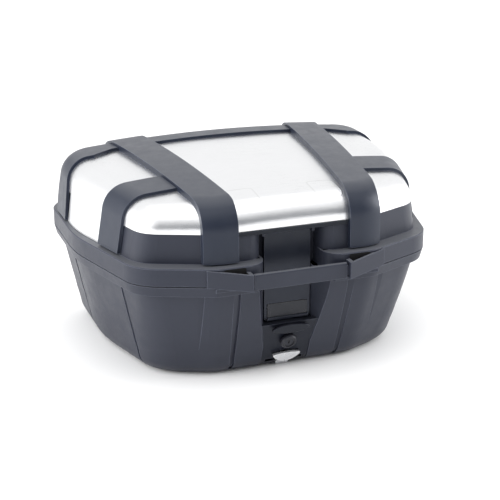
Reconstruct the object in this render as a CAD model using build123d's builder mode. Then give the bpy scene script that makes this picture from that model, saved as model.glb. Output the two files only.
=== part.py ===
"""Motorcycle top case: tub, hinged lid, latch lever, key lock and rack release."""
import os
from math import asin, cos, degrees, radians, sin

from build123d import *

os.makedirs("parts", exist_ok=True)

# Rim outline, right half (mm)
FRONT_Y = -202.0
REAR_Y = 214.0
BEND_X = 122.0
CORNER_X = 230.0
CORNER_Y = -156.0
HALF_WIDTH = 277.5
WIDEST_Y = 20.0
RIM_RADII = (40.0, 63.0, 250.0, 50.0)
LID_RADII = (70.0, 50.0, 250.0, 48.0)

# Levels
FLOOR_Z = 4.0
FLANGE_Z = 148.0
RIM_TOP_Z = 163.0
LID_LOW_Z = 164.8
LEDGE_Z = 191.0
WALL_TOP_Z = 312.0

# Tub profile for front, flank, side and rear: inset at the flange, taper, bend and rounding
TUB_LEVELS = (148.0, 130.0, 112.0, 94.0, 76.0, 58.0, 42.0, 28.0, 16.0, 9.0, 4.0)
TUB_INSETS = (
    (11.0, 48.0, 1.2, 7.0), (16.0, 31.0, 1.05, 7.0), (13.0, 30.0, 1.05, 7.0), (4.0, 12.0, 1.1, 9.0),
)
TUB_RADII_HIGH = (46.0, 61.0, 240.0, 38.0)
TUB_RADII_LOW = (52.0, 80.0, 225.0, 32.0)
ROUND_Z = 20.0
TUB_WALL = 4.0
WALL = 3.0

# Lid wall insets at the ledge and at the top of the draft: front, flank, side, rear
LID_FOOT = (22.0, 13.5, 8.0, 12.0)
LID_HEAD = (24.0, 33.5, 27.0, 24.0)
CROWN_Z = 292.5
CROWN_Y = 130.0
CROWN_R = 2380.0
CROSS_R = 2200.0
EDGE_R = 36.0

# Layers over the lid, measured outwards from its surface
SKIN_T = 1.0
STRAP_GAP = 1.1
STRAP_T = 10.0
BAND_T = 5.8
SKIN_LOW_Z = 235.0

# Front recess and latch
RECESS_HALF = 46.0
RECESS_BACK = -146.0
RECESS_TOP = 236.0
LEVER_HALF = 36.0
LEVER_Y = -158.0
LEVER_T = 4.0
LEVER_LOW = 84.0
LEVER_TOP = 219.6
PIVOT_Y = -155.5
PIVOT_Z = 224.0
PIVOT_R = 5.0
PIN_R = 2.0
RUN_FIT = 0.05

# Lock housing
HOUSING_TOP = 82.0
LOCK_TILT = 19.0
LOCK_Y = -165.0
LOCK_Z = 49.0
LOCK_R = 8.0
BEZEL_R = 12.3
BADGE_Y = -174.4
BADGE_Z = 74.0
TAB_Y = -154.5
TAB_Z = 23.5
TAB_TILT = 24.0
STEM_HALF = 6.0

# Hinges
HINGE_X = 150.0
HINGE_Y = 215.0
HINGE_Z = 164.0
HINGE_R = 5.0
HINGE_PIN_R = 2.0
KNUCKLE = 18.0
KNUCKLE_GAP = 0.3
LEAF_T = 1.6


def cross_point(first, second):
    """Return where two plan lines, each a point and a direction, cross."""
    (p, d), (q, e) = first, second
    det = e.X * d.Y - d.X * e.Y
    step = ((q.Y - p.Y) * e.X - (q.X - p.X) * e.Y) / det
    return p + d * step


def moved_edge(start, end, inset):
    """Return a plan edge moved inwards, as a point and a direction."""
    a, b = Vector(*start), Vector(*end)
    d = (b - a).normalized()
    return a + Vector(-d.Y, d.X) * inset, d


def plan_face(z, front, flank, side, rear, radii):
    """Draw the case outline at one level, with its edges moved inwards."""
    edges = (
        moved_edge((0, FRONT_Y), (BEND_X, FRONT_Y), front),
        moved_edge((BEND_X, FRONT_Y), (CORNER_X, CORNER_Y), front),
        moved_edge((CORNER_X, CORNER_Y), (HALF_WIDTH, WIDEST_Y), flank),
        moved_edge((HALF_WIDTH, WIDEST_Y), (HALF_WIDTH, REAR_Y), side),
        moved_edge((HALF_WIDTH, REAR_Y), (0, REAR_Y), rear),
    )
    right = [cross_point(edges[i], edges[i + 1]) for i in range(4)]
    left = [Vector(-p.X, p.Y) for p in reversed(right)]
    points = [(p.X, p.Y) for p in right + left]
    sizes = list(radii) + list(reversed(radii))
    with BuildSketch(Plane.XY.offset(z)) as plan:
        with BuildLine():
            FilletPolyline(*points, radius=sizes, close=True)
        make_face()
    return plan.sketch


def smaller(radii, amount):
    """Return corner radii reduced by an inset."""
    return tuple(max(r - amount, 6.0) for r in radii)


def rim_block(low, high, inset, low_inset=0.0):
    """Build a block with the rim's outline between two levels."""
    foot = inset + low_inset
    with BuildPart() as block:
        loft([
            plan_face(low, foot, foot, foot, inset, smaller(RIM_RADII, foot)),
            plan_face(high, inset, inset, inset, inset, smaller(RIM_RADII, inset)),
        ], ruled=True)
    return block.part


def tub_outline(z, inset):
    """Draw the tub's outline at one level, moved inwards."""
    drop = (FLANGE_Z - z) / (FLANGE_Z - FLOOR_Z)
    turn = max(0.0, (ROUND_Z - z) / (ROUND_Z - FLOOR_Z))
    insets = [top + taper * drop**bend + foot * turn**2 + inset for top, taper, bend, foot in TUB_INSETS]
    radii = [high + (low - high) * drop for high, low in zip(TUB_RADII_HIGH, TUB_RADII_LOW)]
    return plan_face(z, *insets, smaller(radii, inset))


def tub_block(inset, floor):
    """Build the tub's outer form, moved inwards, above a floor level."""
    with BuildPart() as block:
        loft([tub_outline(z, inset) for z in TUB_LEVELS])
        with Locations((0, 0, floor)):
            Box(700, 700, 200, align=(Align.CENTER, Align.CENTER, Align.MIN), mode=Mode.INTERSECT)
    return block.part


def crown_block(grow):
    """Build the lid's crown as a slice of a barrel, curved both ways."""
    reach = 400.0
    drop = CROWN_R - (CROWN_R**2 - reach**2) ** 0.5
    barrel = Axis((0, 0, CROWN_Z - CROSS_R), (0, 1, 0))
    with BuildPart() as crown:
        with BuildSketch(Plane.YZ):
            with BuildLine():
                top = ThreePointArc(
                    (CROWN_Y - reach, CROWN_Z + grow - drop),
                    (CROWN_Y, CROWN_Z + grow),
                    (CROWN_Y + reach, CROWN_Z + grow - drop),
                )
                Polyline(top @ 1, (CROWN_Y + reach, -200), (CROWN_Y - reach, -200), top @ 0)
            make_face()
        revolve(axis=barrel, revolution_arc=24)
    return crown.part.rotate(barrel, -12)


def lid_block(grow):
    """Build the lid's upper form, grown outwards by an amount."""
    radii = tuple(r + grow for r in LID_RADII)
    with BuildPart() as block:
        loft([
            plan_face(LEDGE_Z, *(i - grow for i in LID_FOOT), radii),
            plan_face(WALL_TOP_Z, *(i - grow for i in LID_HEAD), radii),
        ], ruled=True)
        add(crown_block(grow), mode=Mode.INTERSECT)
        roof = block.faces().sort_by(Axis.Z)[-1]
        fillet(roof.edges(), EDGE_R + grow)
    return block.part


def column(points, low, high):
    """Extrude a plan polygon between two levels."""
    with BuildPart() as prism:
        with BuildSketch(Plane.XY.offset(low)):
            Polygon(*points, align=None)
        extrude(amount=high - low)
    return prism.part


def both_sides(points):
    """Return a polygon made from right-hand points and their mirror."""
    return list(points) + [(-x, y) for x, y in reversed(points)]


def mirrored(part):
    """Return the part's mirror across the case's middle plane."""
    return part.mirror(Plane.YZ)


def lower_recess(grow):
    """Build the front recess of the tub, grown outwards."""
    g = grow
    deep = column(both_sides([(38 + g, -118 + g), (38 + g, -200)]), -1, 80 + g)
    tall = column(
        both_sides([(38 + g, RECESS_BACK + g), (38 + g, -158), (74 + g, -224)]),
        -1, RIM_TOP_Z + 1,
    )
    return deep + tall


def lid_recess(grow):
    """Build the front recess of the lid, with rounded mouth corners."""
    half = RECESS_HALF + grow
    high = RECESS_TOP + grow
    with BuildPart() as recess:
        with Locations((0, RECESS_BACK + grow, 150)):
            Box(2 * half, 100, high - 150, align=(Align.CENTER, Align.MAX, Align.MIN))
        for y, low, top, mouth in (
            (FRONT_Y, 150, LEDGE_Z, 28), (FRONT_Y + LID_FOOT[0], LEDGE_Z, high, 22),
        ):
            radius = mouth - grow
            with BuildSketch(Plane.XY.offset(low)):
                with BuildLine():
                    curve = ThreePointArc(
                        (half, y + radius),
                        (half + radius * (1 - cos(radians(45))), y + radius * (1 - sin(radians(45)))),
                        (half + radius, y),
                    )
                    Polyline(curve @ 1, (half + radius, y - 40), (half, y - 40), curve @ 0)
                make_face()
                mirror(about=Plane.YZ)
            extrude(amount=top - low)
    return recess.part


def front_groove(form, x, lean, width, depth):
    """Build a front wall groove with one sharp edge and a ramp outwards."""
    with BuildPart() as prism:
        with BuildSketch(Plane.XZ.offset(90)):
            Polygon(
                (x, FLANGE_Z - 0.2), (x + width, FLANGE_Z - 0.2),
                (x - lean + 0.6 * width, 6), (x - lean, 6), align=None,
            )
        extrude(amount=130)
    pivot = Axis((x + width, -185, 0), (0, 0, 1))
    return prism.part - form.rotate(pivot, -degrees(asin(depth / width)))


def side_groove(form, y, lean, width, depth):
    """Build a side wall groove with one sharp edge and a ramp forwards."""
    with BuildPart() as prism:
        with BuildSketch(Plane.YZ.offset(150)):
            Polygon(
                (y, FLANGE_Z - 0.2), (y - width, FLANGE_Z - 0.2),
                (y + lean - 0.4 * width, 10), (y + lean, 10), align=None,
            )
        extrude(amount=140)
    pivot = Axis((262, y - width, 0), (0, 0, 1))
    return prism.part - form.rotate(pivot, degrees(asin(depth / width)))


def groove_cutters():
    """Build the grooves of the tub's front and side walls."""
    form = tub_block(0, 0)
    right = [
        front_groove(form, 84, 3, 11, 2.4),
        front_groove(form, 136, 0, 12, 1.8),
        side_groove(form, -80, 6, 11, 2.6),
        side_groove(form, 102, -2, 11, 2.6),
    ]
    return Part() + right + [mirrored(g) for g in right]


def hinge_clearance(low, high):
    """Build the pockets that clear both hinge barrels."""
    length = 3 * KNUCKLE + 2
    with BuildPart() as pocket:
        with Locations((HINGE_X, HINGE_Y, HINGE_Z), (-HINGE_X, HINGE_Y, HINGE_Z)):
            Cylinder(HINGE_R + 0.8, length, rotation=(0, 90, 0))
        with Locations((0, 0, low)):
            Box(800, 800, high - low, align=(Align.CENTER, Align.CENTER, Align.MIN), mode=Mode.INTERSECT)
    return pocket.part


def save(part, name):
    """Name a solid and write it out."""
    part.label = name
    export_step(part, f"parts/{name}.step")


# ---------------------------------------------------------------- tub
seal_groove = rim_block(160.8, 170, 1.9) - rim_block(160.8, 170, 4.1)

with BuildPart() as lower_shell:
    add(tub_block(0, 0))
    add(rim_block(FLANGE_Z, RIM_TOP_Z, 0, 4))
    with BuildPart(mode=Mode.PRIVATE) as mouth:
        extrude(tub_outline(FLANGE_Z, TUB_WALL), amount=30)
    tub_hollow = tub_block(TUB_WALL, FLOOR_Z + 3.5) + mouth.part
    add(tub_hollow - lower_recess(WALL), mode=Mode.SUBTRACT)
    add(lower_recess(0), mode=Mode.SUBTRACT)
    add(groove_cutters(), mode=Mode.SUBTRACT)
    add(seal_groove, mode=Mode.SUBTRACT)
    add(hinge_clearance(100, HINGE_Z + 2), mode=Mode.SUBTRACT)
save(lower_shell.part, "lower_shell")

housing_plane = Plane(
    origin=(0, LOCK_Y, LOCK_Z), x_dir=(1, 0, 0),
    z_dir=(0, -cos(radians(LOCK_TILT)), -sin(radians(LOCK_TILT))),
)
badge_plane = Plane(origin=(0, BADGE_Y, BADGE_Z), x_dir=(1, 0, 0), z_dir=housing_plane.z_dir)
tab_plane = Plane(
    origin=(0, TAB_Y, TAB_Z), x_dir=(1, 0, 0),
    z_dir=(0, -cos(radians(TAB_TILT)), -sin(radians(TAB_TILT))),
)
recess_skin = tub_block(1.5, FLOOR_Z) & lower_recess(-0.25)


def crescent(width, low, high):
    """Draw the release tab's crescent outline."""
    with BuildSketch() as outline:
        with BuildLine():
            bottom = ThreePointArc((-width, 3), (0, low), (width, 3))
            ThreePointArc(bottom @ 1, (0, high), bottom @ 0)
        make_face()
    return outline.sketch


def slide_block(half, low, high, front, back):
    """Build a block on the middle plane."""
    with BuildPart() as block:
        with Locations((0, (front + back) / 2, (low + high) / 2)):
            Box(2 * half, back - front, high - low)
    return block.part


with BuildPart() as lock_housing:
    add(recess_skin)
    with Locations((0, 0, HOUSING_TOP)):
        Box(200, 500, 100, align=(Align.CENTER, Align.CENTER, Align.MIN), mode=Mode.SUBTRACT)
    add(slide_block(30, 10, 72, -146, -122), mode=Mode.SUBTRACT)
    with BuildSketch(badge_plane.offset(-1.6)):
        Ellipse(29.5, 8.8)
    extrude(amount=10, mode=Mode.SUBTRACT)
    with BuildSketch(housing_plane.offset(-2)):
        Circle(BEZEL_R)
    extrude(amount=10, mode=Mode.SUBTRACT)
    with BuildSketch(housing_plane):
        Circle(LOCK_R + RUN_FIT)
    extrude(amount=-40, mode=Mode.SUBTRACT)
    with BuildSketch(tab_plane.offset(-7)):
        add(offset(crescent(22, -11, 6), 0.5))
    extrude(amount=17, mode=Mode.SUBTRACT)
    add(slide_block(STEM_HALF + 0.4, 17.6, 28.6, -165, -130), mode=Mode.SUBTRACT)
    add(slide_block(10.5, 3, 11, -140, -123), mode=Mode.SUBTRACT)
save(lock_housing.part, "lock_housing")

with BuildPart() as oval_badge:
    with BuildSketch(badge_plane.offset(-1.6)):
        Ellipse(29.2, 8.5)
    extrude(amount=3.4)
    fillet(oval_badge.faces().sort_by(Axis.Y)[0].edges(), 1.2)
save(oval_badge.part, "oval_badge")

with BuildPart() as lock_bezel:
    with BuildSketch(housing_plane.offset(-2)):
        Circle(BEZEL_R)
        Circle(LOCK_R + 0.3, mode=Mode.SUBTRACT)
    extrude(amount=5)
    rim = lock_bezel.faces().sort_by(Axis.Y)[0]
    chamfer(rim.edges().sort_by(SortBy.LENGTH)[-1], 1.6)
save(lock_bezel.part, "lock_bezel")

with BuildPart() as lock_cylinder:
    with BuildSketch(housing_plane.offset(2)):
        Circle(LOCK_R)
    extrude(amount=-30)
    with BuildSketch(housing_plane.offset(2)):
        SlotOverall(7, 1.6, rotation=90)
    extrude(amount=-12, mode=Mode.SUBTRACT)
    with BuildSketch(housing_plane.offset(-30.5)):
        with Locations((0, -5)):
            SlotOverall(15, 6, rotation=90)
    extrude(amount=2.5)
save(lock_cylinder.part, "lock_cylinder")

with BuildPart() as release_tab:
    with BuildSketch(tab_plane.offset(-2)):
        add(crescent(22, -11, 6))
    extrude(amount=4.5)
    fillet(release_tab.faces().sort_by(Axis.Y)[0].edges(), 1.0)
save(release_tab.part, "release_tab")

with BuildPart() as mount_catch:
    add(slide_block(STEM_HALF, 18, 26, -153.3, -134))
    add(slide_block(10, 12, 26, -140, -130))
    add(slide_block(10, 1.2, 12.5, -137, -129))
    add(release_tab.part, mode=Mode.SUBTRACT)
    nose = mount_catch.faces().sort_by(Axis.Z)[0].edges().sort_by(Axis.Y)[0]
    chamfer(nose, 1.5)
save(mount_catch.part, "mount_catch")


def lug():
    """Build the right-hand tie-down lug with its open triangle."""
    outer = [(74, -220.5), (137, -199.6), (137, -196.8), (122, -202.8), (74, -202.8)]
    inner = [(79.5, -215.0), (116, -202.8), (79.5, -202.8)]
    inner_low = [(79.5, -215.0), (104, -206.6), (79.5, -206.6)]
    with BuildPart() as body:
        with BuildSketch(Plane.XY.offset(150)):
            Polygon(*outer, align=None)
        extrude(amount=45)
        with BuildSketch(Plane.XY.offset(RIM_TOP_Z)):
            Polygon(*inner, align=None)
        extrude(amount=40, mode=Mode.SUBTRACT)
        with BuildSketch(Plane.XY.offset(140)):
            Polygon(*inner_low, align=None)
        extrude(amount=40, mode=Mode.SUBTRACT)
        with BuildSketch(Plane.XZ.offset(150)):
            Polygon((70, 157.2), (145, 165), (145, 190.8), (70, 182), align=None)
        extrude(amount=100, mode=Mode.INTERSECT)
        root = [(75, -204), (126, -204), (120, -198), (75, -198)]
        add(column(root, 156.8, 162) - rim_block(140, 163.6, 0), mode=Mode.ADD)
        corner = body.edges().filter_by(Axis.Z).sort_by(Axis.Y)[0]
        fillet(corner, 1.2)
    return body.part


lug_right = lug()
save(lug_right, "lug_right")
save(mirrored(lug_right), "lug_left")

with BuildPart() as handle_bar:
    with Locations((0, -210, 168.5)):
        Box(142, 8, 24)
    fillet(handle_bar.edges().filter_by(Axis.X).group_by(Axis.Z)[-1], 2.6)
    fillet(handle_bar.edges().filter_by(Axis.X).group_by(Axis.Z)[0], 1.6)
    with Locations((0, -210, 168.5)):
        Box(148, 5, 14)
save(handle_bar.part, "handle_bar")

with BuildPart() as rim_seal:
    add(rim_block(160.8, 164.5, 2.0) - rim_block(160.8, 164.5, 4.0))
    add(lower_recess(1.0), mode=Mode.SUBTRACT)
    add(hinge_clearance(100, HINGE_Z + 2), mode=Mode.SUBTRACT)
save(rim_seal.part, "rim_seal")

with BuildPart() as base_plate:
    with BuildSketch(Plane.XY.offset(1.0)):
        with Locations((0, 30)):
            RectangleRounded(260, 230, 22)
    extrude(amount=3.0)
    with BuildSketch(Plane.XY.offset(1.0)):
        with Locations((70, 118), (-70, 118)):
            RectangleRounded(34, 14, 3)
    extrude(amount=3.0, mode=Mode.SUBTRACT)
    with BuildSketch(Plane.XY.offset(1.0)):
        with Locations((0, 30)):
            with GridLocations(200, 160, 2, 2):
                Circle(3.25)
    extrude(amount=3.0, mode=Mode.SUBTRACT)
    with BuildSketch(Plane.XY.offset(1.0)):
        with Locations((0, 20)):
            RectangleRounded(120, 110, 14)
    extrude(amount=1.2, mode=Mode.SUBTRACT)
save(base_plate.part, "base_plate")

with BuildPart() as feet:
    with Locations((0, 30, 0)):
        with GridLocations(320, 200, 2, 2):
            Cylinder(13, FLOOR_Z, align=(Align.CENTER, Align.CENTER, Align.MIN))
    chamfer(feet.edges().group_by(Axis.Z)[0], 1.0)
save(feet.part, "feet")

with BuildPart() as floor_mat:
    extrude(tub_outline(7.6, TUB_WALL + 5), amount=2.0)
    add(lower_recess(WALL + 1), mode=Mode.SUBTRACT)
save(floor_mat.part, "floor_mat")

with BuildPart() as keeper:
    add(slide_block(14, HOUSING_TOP, 87, -150.5, -147.5))
save(keeper.part, "keeper")

# ---------------------------------------------------------------- lid
lid_outer = lid_block(0)
lid_inner = lid_block(-WALL)

with BuildPart() as lid_shell:
    add(rim_block(LID_LOW_Z, LEDGE_Z, 0))
    chamfer(lid_shell.faces().sort_by(Axis.Z)[-1].edges(), 1.2)
    add(lid_outer)
    hollow = lid_inner + rim_block(LID_LOW_Z - 1, LEDGE_Z - WALL, 5)
    with BuildPart(mode=Mode.PRIVATE) as throat:
        insets = [i + WALL for i in LID_FOOT]
        extrude(plan_face(LEDGE_Z - WALL, *insets, smaller(LID_RADII, WALL)), amount=WALL)
    hollow = hollow + throat.part
    add(hollow - lid_recess(WALL), mode=Mode.SUBTRACT)
    add(lid_recess(0), mode=Mode.SUBTRACT)
    add(hinge_clearance(LID_LOW_Z - 2, 200), mode=Mode.SUBTRACT)
    for x in (38.8, -38.8):
        with Locations((x, RECESS_BACK + 1, 218)):
            Box(4, 18, 19, align=(Align.CENTER, Align.MAX, Align.MIN))
    with Locations((0, PIVOT_Y, PIVOT_Z)):
        Cylinder(PIN_R, 100, rotation=(0, 90, 0), mode=Mode.SUBTRACT)
save(lid_shell.part, "lid_shell")

with BuildPart() as lever_pin:
    with Locations((0, PIVOT_Y, PIVOT_Z)):
        Cylinder(PIN_R, 81, rotation=(0, 90, 0))
save(lever_pin.part, "lever_pin")

STRAP_PATH = [(86, -260), (137, -260), (137, -165), (183, 195), (183, 260), (128, 260), (128, 195), (86, -165)]
STRAP_MID = [(111.5, -260), (111.5, -165), (155.5, 195), (155.5, 260)]
SIDE_PATH = [(90, -92), (320, -92), (320, -36), (90, -36)]
BAND_TOP_PATH = [(0, 132), (185, 132), (218, 117), (218, 175), (185, 190), (0, 190)]


def layer(low, high, floor):
    """Build a shell layer over the lid between two heights off its surface."""
    with BuildPart() as shell:
        add(lid_block(high))
        add(lid_block(low), mode=Mode.SUBTRACT)
        with Locations((0, 0, floor)):
            Box(900, 900, 300, align=(Align.CENTER, Align.CENTER, Align.MIN), mode=Mode.INTERSECT)
    return shell.part


skin_layer = layer(0, SKIN_T, LEDGE_Z + 0.5)
strap_layer = layer(STRAP_GAP, STRAP_T, LEDGE_Z + 2.5)
band_layer = layer(STRAP_GAP, BAND_T, LEDGE_Z + 2.5)
above_skin_edge = column([(-400, -400), (400, -400), (400, 400), (-400, 400)], SKIN_LOW_Z, 400)
side_skirt = column([(-400, -36), (400, -36), (400, 92), (-400, 92)], LEDGE_Z, SKIN_LOW_Z)

mid_right = column(STRAP_MID + [(400, 260), (400, -260)], 0, 400)
mid_left = mirrored(mid_right)
skin_trim = above_skin_edge + side_skirt
skin_right = skin_layer & skin_trim & mid_right
save(skin_right, "skin_right")
save(mirrored(skin_right), "skin_left")
save((skin_layer & above_skin_edge) - mid_right - mid_left, "skin_center")

strap_zone = column(STRAP_PATH, 0, 400)
strap_room = column(
    [(85.4, -260), (137.6, -260), (137.6, -165), (183.6, 195), (183.6, 260), (127.4, 260), (127.4, 195),
     (85.4, -165)], 0, 400,
)
strap_right = strap_layer & strap_zone
save(strap_right, "strap_right")
save(mirrored(strap_right), "strap_left")

side_parts = ((band_layer & column(SIDE_PATH, 0, 400)) - strap_room).solids()
side_strap_right = Part() + side_parts.sort_by(Axis.X)[-1]
save(side_strap_right, "side_strap_right")
save(mirrored(side_strap_right), "side_strap_left")

with BuildPart() as slanted_side:
    with BuildSketch(Plane.YZ.offset(218)):
        Polygon((92, 191), (150, 191), (177, 300), (119, 300), align=None)
    extrude(amount=100)
rear_path = column(both_sides(BAND_TOP_PATH), 0, 400) + slanted_side.part
rear_band = (band_layer & rear_path) - strap_room - mirrored(strap_room)
rear_parts = rear_band.solids().sort_by(Axis.X)
save(Part() + rear_parts[-1], "rear_strap_right")
save(mirrored(Part() + rear_parts[-1]), "rear_strap_left")
save(Part() + rear_parts[1], "rear_band")

with BuildPart() as front_trim:
    wall_y = FRONT_Y + LID_FOOT[0] + 0.7
    with Locations((0, wall_y, 229)):
        Box(170, 4, 5.7, align=(Align.CENTER, Align.MAX, Align.MIN))
    add(lid_outer, mode=Mode.SUBTRACT)
    fillet(front_trim.edges().filter_by(Axis.X).group_by(Axis.Y)[0], 1.0)
    with Locations((0, wall_y, 229)):
        Box(2 * RECESS_HALF - 1, 6, 5.7, align=(Align.CENTER, Align.MIN, Align.MIN))
save(front_trim.part, "front_trim")

# ---------------------------------------------------------------- latch lever
with BuildPart() as latch_lever:
    with Locations((0, LEVER_Y, LEVER_LOW)):
        Box(2 * LEVER_HALF, LEVER_T, LEVER_TOP - LEVER_LOW, align=(Align.CENTER, Align.MIN, Align.MIN))
    fillet(latch_lever.edges().filter_by(Axis.Y), 3)
    with Locations((0, LEVER_Y, LEVER_LOW)):
        Box(64, 3.4, 5, align=(Align.CENTER, Align.MAX, Align.MIN))
    fillet(latch_lever.faces().sort_by(Axis.Y)[0].edges().filter_by(Axis.X), 1.4)
    with Locations((0, LEVER_Y + LEVER_T, 92)):
        Box(24, 5, 5, align=(Align.CENTER, Align.MIN, Align.MIN))
    with Locations((0, PIVOT_Y, PIVOT_Z)):
        Cylinder(PIVOT_R, 2 * LEVER_HALF, rotation=(0, 90, 0))
    with Locations((0, LEVER_Y, LEVER_TOP - 4)):
        Box(60, LEVER_T, 8, align=(Align.CENTER, Align.MIN, Align.MIN))
    with Locations((0, PIVOT_Y, PIVOT_Z)):
        Cylinder(PIN_R + RUN_FIT, 100, rotation=(0, 90, 0), mode=Mode.SUBTRACT)
    with Locations((0, LEVER_Y, 99.5)):
        Box(65, 2, 22, mode=Mode.SUBTRACT)
save(latch_lever.part, "latch_lever")

with BuildPart() as badge_plate:
    with Locations((0, LEVER_Y - 0.1, 99.5)):
        Box(64, 2.2, 21)
    fillet(badge_plate.edges().filter_by(Axis.Y), 2)
    chamfer(badge_plate.faces().sort_by(Axis.Y)[0].edges(), 0.5)
save(badge_plate.part, "badge_plate")


# ---------------------------------------------------------------- hinges
def knuckles(centres, length):
    """Build hinge knuckles along the hinge line, without their bore."""
    with BuildPart() as barrel:
        with Locations([(HINGE_X + c, HINGE_Y, HINGE_Z) for c in centres]):
            Cylinder(HINGE_R, length, rotation=(0, 90, 0))
    return barrel.part


def leaf(low, high, root_low, root_high, width, centres, bore):
    """Build a hinge leaf: screwed plate, knuckles and the roots between them."""
    length = KNUCKLE - KNUCKLE_GAP
    with BuildPart() as plate:
        with Locations((HINGE_X, REAR_Y, (low + high) / 2)):
            Box(width, LEAF_T, high - low, align=(Align.CENTER, Align.MIN, Align.CENTER))
        with Locations([(HINGE_X + c, REAR_Y, (root_low + root_high) / 2) for c in centres]):
            Box(length, LEAF_T, root_high - root_low, align=(Align.CENTER, Align.MIN, Align.CENTER))
        add(knuckles(centres, length))
        with Locations((HINGE_X, HINGE_Y, HINGE_Z)):
            Cylinder(bore, 100, rotation=(0, 90, 0), mode=Mode.SUBTRACT)
    return plate.part


def screw_heads(level):
    """Build the pan-head screws of both hinge leaves at one level."""
    with BuildPart() as heads:
        for side in (-HINGE_X, HINGE_X):
            with Locations((side - 17, REAR_Y + LEAF_T, level), (side + 17, REAR_Y + LEAF_T, level)):
                Cylinder(3.6, 2, rotation=(-90, 0, 0), align=(Align.CENTER, Align.CENTER, Align.MIN))
        chamfer(heads.faces().filter_by(Axis.Y).group_by(Axis.Y)[-1].edges(), 0.8)
    return heads.part


outer_knuckles = (-KNUCKLE, KNUCKLE)
lower_leaf = leaf(149, 158, 157, 162, 3 * KNUCKLE, outer_knuckles, HINGE_PIN_R)
upper_leaf = leaf(170, 184, 166, 171, 3 * KNUCKLE, (0,), HINGE_PIN_R + RUN_FIT)
save(lower_leaf, "hinge_leaf_lower_right")
save(mirrored(lower_leaf), "hinge_leaf_lower_left")
save(upper_leaf, "hinge_leaf_upper_right")
save(mirrored(upper_leaf), "hinge_leaf_upper_left")
save(screw_heads(153.5), "hinge_screws_lower")
save(screw_heads(177), "hinge_screws_upper")

with BuildPart() as hinge_pin:
    with Locations((HINGE_X, HINGE_Y, HINGE_Z)):
        Cylinder(HINGE_PIN_R, 3 * KNUCKLE, rotation=(0, 90, 0))
save(hinge_pin.part, "hinge_pin_right")
save(mirrored(hinge_pin.part), "hinge_pin_left")
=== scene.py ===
"""Motorcycle top case: materials, small details, studio light and camera."""
import bpy
from math import cos, radians, sin
from mathutils import Matrix, Vector


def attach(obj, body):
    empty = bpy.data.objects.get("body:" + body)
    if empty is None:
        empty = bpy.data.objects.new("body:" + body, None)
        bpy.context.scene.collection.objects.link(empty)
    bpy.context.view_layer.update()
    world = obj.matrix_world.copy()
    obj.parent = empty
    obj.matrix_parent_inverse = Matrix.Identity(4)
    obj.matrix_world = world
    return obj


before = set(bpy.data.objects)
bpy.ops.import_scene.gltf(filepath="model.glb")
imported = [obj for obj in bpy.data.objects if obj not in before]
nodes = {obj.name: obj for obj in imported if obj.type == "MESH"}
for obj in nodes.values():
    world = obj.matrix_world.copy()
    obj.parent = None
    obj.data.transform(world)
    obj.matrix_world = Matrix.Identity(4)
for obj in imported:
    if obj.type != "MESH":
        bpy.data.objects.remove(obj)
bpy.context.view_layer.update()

# Sizes below are metres, unless a name says millimetres.
MM = 0.001
# Radius and strength of the edge mask, which lays painted highlights along rounded edges.
EDGE_RADIUS = 0.0012
EDGE_STRENGTH = 0.8
BEVEL_ANGLE = radians(32)
BEVEL_SEGMENTS = 3

# The open triangle of a lug in plan, and the black sleeve of painted shade inside it, in millimetres.
LUG_TRIANGLE_MM = ((79.5, -215.0), (116.0, -202.8), (79.5, -202.8))
SHADE_SHEET_OUTER, SHADE_SHEET_INNER = 0.965, 0.90
SHADE_SHEET_LOW_MM = 164.5
SHADE_SHEET_HIGH_MM = 181.2
LUG_ROOT_MM = 70.0
LUG_RISE = 8.8 / 75

# The black sheet of painted shade on the lid rim behind a lug: its outline across and up, and its back and
# front, in millimetres.
RIM_SHADE_OUTLINE_MM = (
    (80.0, 168.0), (80.0, 187.3), (80.5, 188.6), (81.8, 189.2),
    (110.2, 189.2), (111.8, 188.5), (112.4, 187.0), (112.4, 183.0), (92.0, 168.0),
)
RIM_SHADE_BACK_MM, RIM_SHADE_FRONT_MM = -202.05, -203.0

# The outline pressed into the centre skin, one at each side: middle, half size, corner and line width.
EMBOSSED = ((0.0635, -0.143), (0.0205, 0.023), 0.006, 0.0014)

FLOOR_HALF = 16.0
LIGHT_TARGET = (0.0, 0.0, 0.15)
CAMERA_AIM = (0.0, 0.020, 0.132)
CAMERA_SHIFT_RIGHT, CAMERA_SHIFT_UP = 0.0066, 0.0007
CAMERA_AZIMUTH, CAMERA_ELEVATION, CAMERA_ROLL = radians(-20.08), radians(19.33), radians(-0.26)
CAMERA_DISTANCE = 2.002
CAMERA_LENS_MM, CAMERA_SENSOR_MM = 89.93, 36.0


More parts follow.
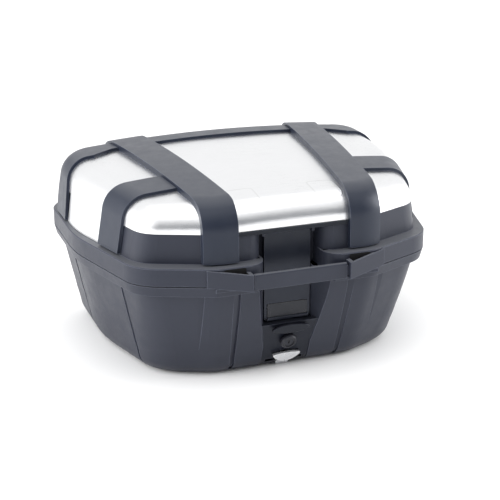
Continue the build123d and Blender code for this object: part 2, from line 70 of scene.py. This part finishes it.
# ---------------------------------------------------------------- materials
class Shader:
    """Builds one procedural material around a Principled shader."""

    def __init__(self, name):
        self.material = bpy.data.materials.new(name)
        self.material.use_nodes = True
        self.tree = self.material.node_tree
        self.bsdf = self.tree.nodes["Principled BSDF"]
        self.coords = self.add("ShaderNodeTexCoord").outputs["Object"]

    def add(self, kind, **values):
        """Add a node and set its named inputs and properties."""
        node = self.tree.nodes.new(kind)
        for key, value in values.items():
            if key in node.inputs:
                node.inputs[key].default_value = value
            else:
                setattr(node, key, value)
        return node

    def link(self, source, target):
        """Join an output to an input."""
        self.tree.links.new(source, target)

    def stretched(self, scale):
        """Return object coordinates scaled along each axis."""
        mapping = self.add("ShaderNodeMapping")
        mapping.inputs["Scale"].default_value = scale
        self.link(self.coords, mapping.inputs["Vector"])
        return mapping.outputs["Vector"]

    def noise(self, scale, detail=3.0, vector=None, roughness=0.5):
        """Add a noise texture and return its value."""
        node = self.add("ShaderNodeTexNoise", Scale=scale, Detail=detail, Roughness=roughness)
        self.link(vector if vector is not None else self.coords, node.inputs["Vector"])
        return node.outputs["Fac"]

    def upward(self, amount):
        """Return a mask of the faces that look up when the lid is shut."""
        split = self.add("ShaderNodeSeparateXYZ")
        self.link(self.add("ShaderNodeTexCoord").outputs["Normal"], split.inputs[0])
        return self.remap(split.outputs["Z"], 0.0, amount, 0.72, 0.98)

    def remap(self, value, low, high, start=0.0, end=1.0):
        """Stretch a value from one range to another."""
        node = self.add("ShaderNodeMapRange")
        node.inputs["From Min"].default_value = start
        node.inputs["From Max"].default_value = end
        node.inputs["To Min"].default_value = low
        node.inputs["To Max"].default_value = high
        self.link(value, node.inputs["Value"])
        return node.outputs["Result"]

    def math(self, operation, first, second=None):
        """Join one or two numbers or outputs with a math operation."""
        node = self.add("ShaderNodeMath", operation=operation)
        for value, target in ((first, node.inputs[0]), (second, node.inputs[1])):
            if isinstance(value, float):
                target.default_value = value
            elif value is not None:
                self.link(value, target)
        return node.outputs[0]

    def outline(self, center, half, corner, width):
        """Return a line round a rounded rectangle in plan, one at each side of the middle."""
        split = self.add("ShaderNodeSeparateXYZ")
        self.link(self.coords, split.inputs[0])
        across = self.math("SUBTRACT", self.math("ABSOLUTE", split.outputs["X"]), center[0])
        along = self.math("SUBTRACT", split.outputs["Y"], center[1])
        reach = []
        for value, size in ((across, half[0]), (along, half[1])):
            beyond = self.math("SUBTRACT", self.math("ABSOLUTE", value), size - corner)
            clipped = self.math("MAXIMUM", beyond, 0.0)
            reach.append(self.math("MULTIPLY", clipped, clipped))
        distance = self.math("SQRT", self.math("ADD", reach[0], reach[1]))
        off = self.math("ABSOLUTE", self.math("SUBTRACT", distance, corner))
        return self.remap(off, 1.0, 0.0, width * 0.4, width)

    def mix(self, factor, first, second):
        """Mix two colours, each a tuple or an output."""
        node = self.add("ShaderNodeMix", data_type="RGBA")
        self.link(factor, node.inputs["Factor"])
        for value, target in ((first, node.inputs[6]), (second, node.inputs[7])):
            if isinstance(value, tuple):
                target.default_value = value
            else:
                self.link(value, target)
        return node.outputs[2]

    def bump(self, height, strength, distance, normal=None):
        """Add a bump and return its normal."""
        node = self.add("ShaderNodeBump", Strength=strength, Distance=distance)
        self.link(height, node.inputs["Height"])
        if normal is not None:
            self.link(normal, node.inputs["Normal"])
        return node.outputs["Normal"]

    def edges(self):
        """Return a mask that rises along the edges, where the surface turns within a short radius."""
        rounded = self.add("ShaderNodeBevel", samples=4, Radius=EDGE_RADIUS)
        flat = self.add("ShaderNodeNewGeometry").outputs["Normal"]
        turn = self.add("ShaderNodeVectorMath", operation="DOT_PRODUCT")
        self.link(rounded.outputs["Normal"], turn.inputs[0])
        self.link(flat, turn.inputs[1])
        return self.remap(turn.outputs["Value"], EDGE_STRENGTH, 0.0, 0.90, 0.995)

    def finish(self, color, roughness, normal=None):
        """Join the colour, roughness and normal to the shader."""
        for value, name in ((color, "Base Color"), (roughness, "Roughness"), (normal, "Normal")):
            if value is None:
                continue
            if isinstance(value, (tuple, float)):
                self.bsdf.inputs[name].default_value = value
            else:
                self.link(value, self.bsdf.inputs[name])
        return self.material


def grey(r, g=None, b=None):
    """Return a linear colour with full alpha."""
    return (r, r if g is None else g, r if b is None else b, 1.0)


def toned(color, gains, lifts=(0.0, 0.0, 0.0)):
    """Return a colour with each channel multiplied and then raised."""
    return grey(*(value * gain + lift for value, gain, lift in zip(color, gains, lifts)))


def moulded(name, color, rough, grain, depth, spec, painted_top_light):
    """Moulded plastic with fine grain, soft mottling and dust, painted highlights along the edges and
    painted light on its upper faces.
    """
    s = Shader(name)
    s.bsdf.inputs["Specular IOR Level"].default_value = spec
    s.bsdf.inputs["Specular Tint"].default_value = grey(0.90, 0.93, 1.0)
    fine = s.noise(grain, 2.0, roughness=0.55)
    broad = s.noise(9.0, 4.0)
    dust = s.noise(55.0, 5.0, roughness=0.65)
    pale = toned(color, (1.35, 1.35, 1.35), (0.004, 0.004, 0.004))
    deep = toned(color, (0.88, 0.88, 0.9))
    edge_highlight = toned(color, (2.6, 2.6, 2.6), (0.06, 0.062, 0.07))
    base = s.mix(s.remap(broad, 0.0, 1.0, 0.35, 0.65), deep, color)
    base = s.mix(s.remap(dust, 0.0, 0.16, 0.5, 0.8), base, pale)
    # Faces that look up are drawn towards pale grey: painted light from above.
    base = s.mix(s.upward(painted_top_light), base, grey(0.115, 0.120, 0.135))
    # Edges are drawn paler: painted highlight where rounded edges catch the light.
    base = s.mix(s.edges(), base, edge_highlight)
    roughness = s.remap(dust, rough - 0.05, rough + 0.07, 0.3, 0.7)
    normal = s.bump(fine, 0.55, depth)
    normal = s.bump(s.noise(14.0, 2.0), 0.12, 0.002, normal)
    return s.finish(base, roughness, normal)


def brushed(name, stretch, color, rough, embossed=None):
    """Brushed metal with fine streaks, soft clouding, faint scratches and, if asked, an embossed outline."""
    s = Shader(name)
    s.bsdf.inputs["Metallic"].default_value = 1.0
    s.bsdf.inputs["Anisotropic"].default_value = 0.35
    lines = s.noise(1.0, 4.0, s.stretched(stretch), 0.6)
    clouds = s.noise(7.0, 3.0)
    marks = s.noise(1.0, 2.0, s.stretched((40.0, 700.0, 60.0)), 0.5)
    dark = toned(color, (0.93, 0.93, 0.935))
    scratched = toned(color, (0.8, 0.8, 0.8))
    base = s.mix(s.remap(lines, 0.0, 1.0, 0.3, 0.7), dark, color)
    base = s.mix(s.remap(marks, 0.0, 0.25, 0.68, 0.8), base, scratched)
    mixed = s.remap(lines, rough - 0.05, rough + 0.07, 0.25, 0.75)
    blend = s.math("ADD", mixed, s.remap(clouds, -0.03, 0.04, 0.3, 0.7))
    normal = s.bump(lines, 0.35, 0.00002)
    if embossed is not None:
        ridge = s.outline(*embossed)
        base = s.mix(s.math("MULTIPLY", ridge, 0.35), base, grey(0.62, 0.63, 0.62))
        normal = s.bump(ridge, 0.4, 0.0004, normal)
    return s.finish(base, blend, normal)


def gloss(name, color, rough):
    """Gloss plastic with faint orange peel and fine dust."""
    s = Shader(name)
    s.bsdf.inputs["Specular IOR Level"].default_value = 0.3
    s.bsdf.inputs["Specular Tint"].default_value = grey(0.70, 0.80, 1.0)
    s.bsdf.inputs["Coat Weight"].default_value = 0.12
    s.bsdf.inputs["Coat Roughness"].default_value = 0.05
    dust = s.noise(260.0, 4.0, roughness=0.7)
    base = s.mix(s.remap(dust, 0.0, 0.3, 0.6, 0.85), color, grey(0.010, 0.011, 0.018))
    roughness = s.remap(dust, rough, rough + 0.08, 0.4, 0.8)
    return s.finish(base, roughness, s.bump(s.noise(120.0, 1.0), 0.08, 0.0002))


def painted(name, color, rough, metal):
    """Satin metallic paint with fine flake and painted highlights along the edges."""
    s = Shader(name)
    s.bsdf.inputs["Metallic"].default_value = metal
    flake = s.noise(2600.0, 1.0)
    smear = s.noise(80.0, 4.0)
    base = s.mix(s.remap(flake, 0.0, 1.0, 0.3, 0.7), toned(color, (0.85, 0.85, 0.86)), color)
    # Edges are drawn towards light grey: painted highlight where rounded edges catch the light.
    base = s.mix(s.edges(), base, grey(min(color[0] * 1.4 + 0.03, 0.95)))
    roughness = s.remap(smear, rough - 0.05, rough + 0.08, 0.3, 0.7)
    return s.finish(base, roughness, s.bump(flake, 0.2, 0.00003))


def rubber(name, color):
    """Matt rubber with a fine pitted surface."""
    s = Shader(name)
    s.bsdf.inputs["Specular IOR Level"].default_value = 0.35
    pits = s.noise(900.0, 3.0)
    bloom = s.noise(30.0, 4.0)
    base = s.mix(s.remap(bloom, 0.0, 0.5, 0.45, 0.75), color, grey(color[0] * 1.8 + 0.006))
    return s.finish(base, s.remap(bloom, 0.72, 0.88, 0.3, 0.7), s.bump(pits, 0.5, 0.0002))


shell_plastic = moulded("shell_plastic", grey(0.026, 0.029, 0.043), 0.42, 1500.0, 0.00012, 0.36, 0.85)
strap_plastic = moulded("strap_plastic", grey(0.017, 0.022, 0.037), 0.36, 2400.0, 0.00004, 0.40, 0.42)
bar_plastic = moulded("bar_plastic", grey(0.026, 0.029, 0.043), 0.40, 2000.0, 0.00006, 0.40, 0.85)
dark_plastic = moulded("dark_plastic", grey(0.006, 0.008, 0.013), 0.40, 1800.0, 0.00008, 0.3, 0.1)
housing_plastic = moulded("housing_plastic", grey(0.009, 0.011, 0.019), 0.40, 1800.0, 0.00008, 0.3, 0.1)
panel_plastic = moulded("panel_plastic", grey(0.010, 0.013, 0.024), 0.34, 2400.0, 0.00004, 0.4, 0.1)
aluminium = brushed("aluminium", (26.0, 1700.0, 1700.0), grey(0.90, 0.905, 0.915), 0.30)
embossed_aluminium = brushed(
    "embossed_aluminium", (26.0, 1700.0, 1700.0), grey(0.90, 0.905, 0.915), 0.30,
    embossed=EMBOSSED,
)
badge_metal = painted("badge_metal", grey(0.012, 0.014, 0.022), 0.30, 0.2)
zinc = brushed("zinc", (900.0, 900.0, 900.0), grey(0.60, 0.61, 0.63), 0.33)
oval_gloss = gloss("oval_gloss", grey(0.004, 0.004, 0.007), 0.07)
silver_paint = painted("silver_paint", grey(0.80, 0.805, 0.82), 0.30, 0.75)
lock_paint = painted("lock_paint", grey(0.016, 0.018, 0.027), 0.30, 0.3)
black_steel = painted("black_steel", grey(0.030, 0.030, 0.034), 0.42, 0.5)
seal_rubber = rubber("seal_rubber", grey(0.016, 0.016, 0.017))

FINISHES = {
    "lower_shell": shell_plastic, "lid_shell": shell_plastic, "lock_housing": housing_plastic,
    "lug_left": bar_plastic, "lug_right": bar_plastic, "handle_bar": bar_plastic,
    "strap_left": strap_plastic, "strap_right": strap_plastic,
    "side_strap_left": strap_plastic, "side_strap_right": strap_plastic,
    "rear_band": strap_plastic, "rear_strap_left": strap_plastic, "rear_strap_right": strap_plastic,
    "front_trim": dark_plastic, "base_plate": dark_plastic, "latch_lever": panel_plastic,
    "badge_plate": badge_metal, "oval_badge": oval_gloss, "lock_bezel": lock_paint,
    "lock_cylinder": lock_paint, "release_tab": silver_paint,
    "skin_center": embossed_aluminium, "skin_left": aluminium, "skin_right": aluminium,
    "rim_seal": seal_rubber, "feet": seal_rubber, "floor_mat": seal_rubber,
    "keeper": zinc, "mount_catch": zinc, "lever_pin": zinc,
    "hinge_pin_left": zinc, "hinge_pin_right": zinc,
    "hinge_screws_lower": zinc, "hinge_screws_upper": zinc,
    "hinge_leaf_lower_left": black_steel, "hinge_leaf_lower_right": black_steel,
    "hinge_leaf_upper_left": black_steel, "hinge_leaf_upper_right": black_steel,
}
EDGE_WIDTHS = {
    "strap_left": 0.0022, "strap_right": 0.0022, "side_strap_left": 0.0018, "side_strap_right": 0.0018,
    "rear_band": 0.0018, "rear_strap_left": 0.0018, "rear_strap_right": 0.0018,
    "lower_shell": 0.0007, "lid_shell": 0.0009, "lug_left": 0.0008, "lug_right": 0.0008,
    "handle_bar": 0.0006, "lock_housing": 0.0006, "front_trim": 0.0005, "latch_lever": 0.0006,
    "skin_center": 0.0004, "skin_left": 0.0004, "skin_right": 0.0004,
    "lock_cylinder": 0.0004, "release_tab": 0.0004, "base_plate": 0.0005,
    "hinge_leaf_lower_left": 0.0004, "hinge_leaf_lower_right": 0.0004,
    "hinge_leaf_upper_left": 0.0004, "hinge_leaf_upper_right": 0.0004,
}

for name, obj in nodes.items():
    obj.data.materials.clear()
    obj.data.materials.append(FINISHES[name])
    if name in EDGE_WIDTHS:
        bevel = obj.modifiers.new("soft_edges", "BEVEL")
        bevel.width = EDGE_WIDTHS[name]
        bevel.segments = BEVEL_SEGMENTS
        bevel.limit_method = "ANGLE"
        bevel.angle_limit = BEVEL_ANGLE
        bevel.harden_normals = True
        bevel.use_clamp_overlap = True

# ---------------------------------------------------------------- painted shade in the lug pockets and on the rim behind them
# Near-black matt sheets in the lug pockets and on the lid rim behind them: painted shade where these hollows
# lie in shadow.
shade_sheet_black = rubber("shade_sheet_black", grey(0.003, 0.003, 0.004))


def place_mesh(name, points_mm, faces, material):
    """Make an object of these points, given in millimetres, and put it in the scene."""
    mesh = bpy.data.meshes.new(name)
    mesh.from_pydata([tuple(value * MM for value in point) for point in points_mm], [], faces)
    mesh.materials.append(material)
    obj = bpy.data.objects.new(name, mesh)
    bpy.context.scene.collection.objects.link(obj)
    return obj


def triangle_ring(side, keep, high):
    """Return the lug's triangle shrunk about its middle, at the foot of the painted-shade sleeve or along
    its sloping top.
    """
    middle_x = sum(x for x, _ in LUG_TRIANGLE_MM) / 3
    middle_y = sum(y for _, y in LUG_TRIANGLE_MM) / 3
    ring = []
    for x, y in LUG_TRIANGLE_MM:
        u = middle_x + (x - middle_x) * keep
        v = middle_y + (y - middle_y) * keep
        w = SHADE_SHEET_HIGH_MM + (u - LUG_ROOT_MM) * LUG_RISE if high else SHADE_SHEET_LOW_MM
        ring.append((side * u, v, w))
    return ring


def lug_shade_sheet(name, side):
    """Line the open triangle of one lug with a thin black sleeve of painted shade."""
    rings = []
    for keep in (SHADE_SHEET_OUTER, SHADE_SHEET_INNER):
        rings += triangle_ring(side, keep, False) + triangle_ring(side, keep, True)
    outer_low, outer_high, inner_low, inner_high = 0, 3, 6, 9
    walls = (
        (outer_low, outer_high), (inner_high, inner_low),
        (outer_high, inner_high), (inner_low, outer_low),
    )
    faces = []
    for i in range(3):
        j = (i + 1) % 3
        for a, b in walls:
            faces.append((a + i, a + j, b + j, b + i)[::side])
    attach(place_mesh(name, rings, faces, shade_sheet_black), "tub")


def rim_shade_sheet(name, side):
    """Add a black sheet of painted shade on the lid rim behind one lug, with its upper corners rounded."""
    points = []
    for v in (RIM_SHADE_BACK_MM, RIM_SHADE_FRONT_MM):
        points += [(side * u, v, w) for u, w in RIM_SHADE_OUTLINE_MM]
    count = len(RIM_SHADE_OUTLINE_MM)
    faces = [tuple(range(count))[::-side], tuple(range(count, 2 * count))[::side]]
    for i in range(count):
        j = (i + 1) % count
        faces.append((i, j, count + j, count + i)[::side])
    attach(place_mesh(name, points, faces, shade_sheet_black), "lid")


lug_shade_sheet("lug_shade_sheet_right", 1)
lug_shade_sheet("lug_shade_sheet_left", -1)
rim_shade_sheet("rim_shade_sheet_right", 1)
rim_shade_sheet("rim_shade_sheet_left", -1)

# ---------------------------------------------------------------- stage
floor_mesh = bpy.data.meshes.new("floor")
floor_corners = [(x * FLOOR_HALF, y * FLOOR_HALF, 0) for x, y in ((-1, -1), (1, -1), (1, 1), (-1, 1))]
floor_mesh.from_pydata(floor_corners, [], [(0, 1, 2, 3)])
floor = bpy.data.objects.new("floor", floor_mesh)
bpy.context.scene.collection.objects.link(floor)
pale = Shader("floor_white")
pale.bsdf.inputs["Specular IOR Level"].default_value = 0.2
floor_mesh.materials.append(pale.finish(
    pale.mix(pale.remap(pale.noise(1.5, 2.0), 0.0, 1.0, 0.3, 0.7), grey(0.93), grey(0.95)), 0.8,
))

# White walls above, behind and at both sides; a dark room in front.
world = bpy.data.worlds.new("studio")
bpy.context.scene.world = world
world.use_nodes = True
tree = world.node_tree
direction = tree.nodes.new("ShaderNodeTexCoord")
split = tree.nodes.new("ShaderNodeSeparateXYZ")
sideways = tree.nodes.new("ShaderNodeMath")
sideways.operation = "ABSOLUTE"
joined = tree.nodes.new("ShaderNodeCombineXYZ")
weight = tree.nodes.new("ShaderNodeVectorMath")
weight.operation = "DOT_PRODUCT"
weight.inputs[1].default_value = (0.5, 0.6, 1.0)
spread = tree.nodes.new("ShaderNodeMapRange")
spread.interpolation_type = "SMOOTHSTEP"
spread.inputs["From Min"].default_value = -0.25
spread.inputs["From Max"].default_value = 0.55
walls = tree.nodes.new("ShaderNodeMix")
walls.data_type = "RGBA"
walls.inputs[6].default_value = grey(0.09, 0.10, 0.12)
walls.inputs[7].default_value = grey(1.0)
for source, target in (
    (direction.outputs["Generated"], split.inputs[0]),
    (split.outputs["X"], sideways.inputs[0]),
    (sideways.outputs[0], joined.inputs["X"]),
    (split.outputs["Y"], joined.inputs["Y"]),
    (split.outputs["Z"], joined.inputs["Z"]),
    (joined.outputs[0], weight.inputs[0]),
    (weight.outputs["Value"], spread.inputs["Value"]),
    (spread.outputs["Result"], walls.inputs["Factor"]),
    (walls.outputs[2], tree.nodes["Background"].inputs["Color"]),
):
    tree.links.new(source, target)
tree.nodes["Background"].inputs["Strength"].default_value = 1.0


def softbox(name, place, size, power):
    """Add a rectangular area light aimed at the case."""
    data = bpy.data.lights.new(name, "AREA")
    data.shape = "RECTANGLE"
    data.size, data.size_y = size
    data.energy = power
    lamp = bpy.data.objects.new(name, data)
    lamp.location = place
    lamp.rotation_euler = (Vector(LIGHT_TARGET) - Vector(place)).to_track_quat("-Z", "Y").to_euler()
    bpy.context.scene.collection.objects.link(lamp)


softbox("left_box", (-2.4, 0.1, 0.9), (1.8, 1.4), 46)
softbox("right_box", (2.5, -0.6, 0.9), (1.6, 1.4), 46)
sun_data = bpy.data.lights.new("overhead", "SUN")
sun_data.energy = 0.9
sun_data.angle = radians(70)
sun = bpy.data.objects.new("overhead", sun_data)
sun.rotation_euler = (radians(6), radians(-4), 0)
bpy.context.scene.collection.objects.link(sun)

# ---------------------------------------------------------------- camera
level = cos(CAMERA_ELEVATION)
back = Vector((sin(CAMERA_AZIMUTH) * level, -cos(CAMERA_AZIMUTH) * level, sin(CAMERA_ELEVATION)))
right = (-back).cross(Vector((0, 0, 1))).normalized()
up = back.cross(right)
right_rolled = right * cos(CAMERA_ROLL) + up * sin(CAMERA_ROLL)
up_rolled = up * cos(CAMERA_ROLL) - right * sin(CAMERA_ROLL)
aim = Vector(CAMERA_AIM) + right_rolled * CAMERA_SHIFT_RIGHT + up_rolled * CAMERA_SHIFT_UP
camera_data = bpy.data.cameras.new("camera")
camera_data.sensor_width = CAMERA_SENSOR_MM
camera_data.lens = CAMERA_LENS_MM
camera = bpy.data.objects.new("camera", camera_data)
pose = Matrix((right_rolled, up_rolled, back)).transposed().to_4x4()
pose.translation = aim + back * CAMERA_DISTANCE
camera.matrix_world = pose
bpy.context.scene.collection.objects.link(camera)
bpy.context.scene.camera = camera
bpy.context.scene.view_settings.view_transform = "Standard"
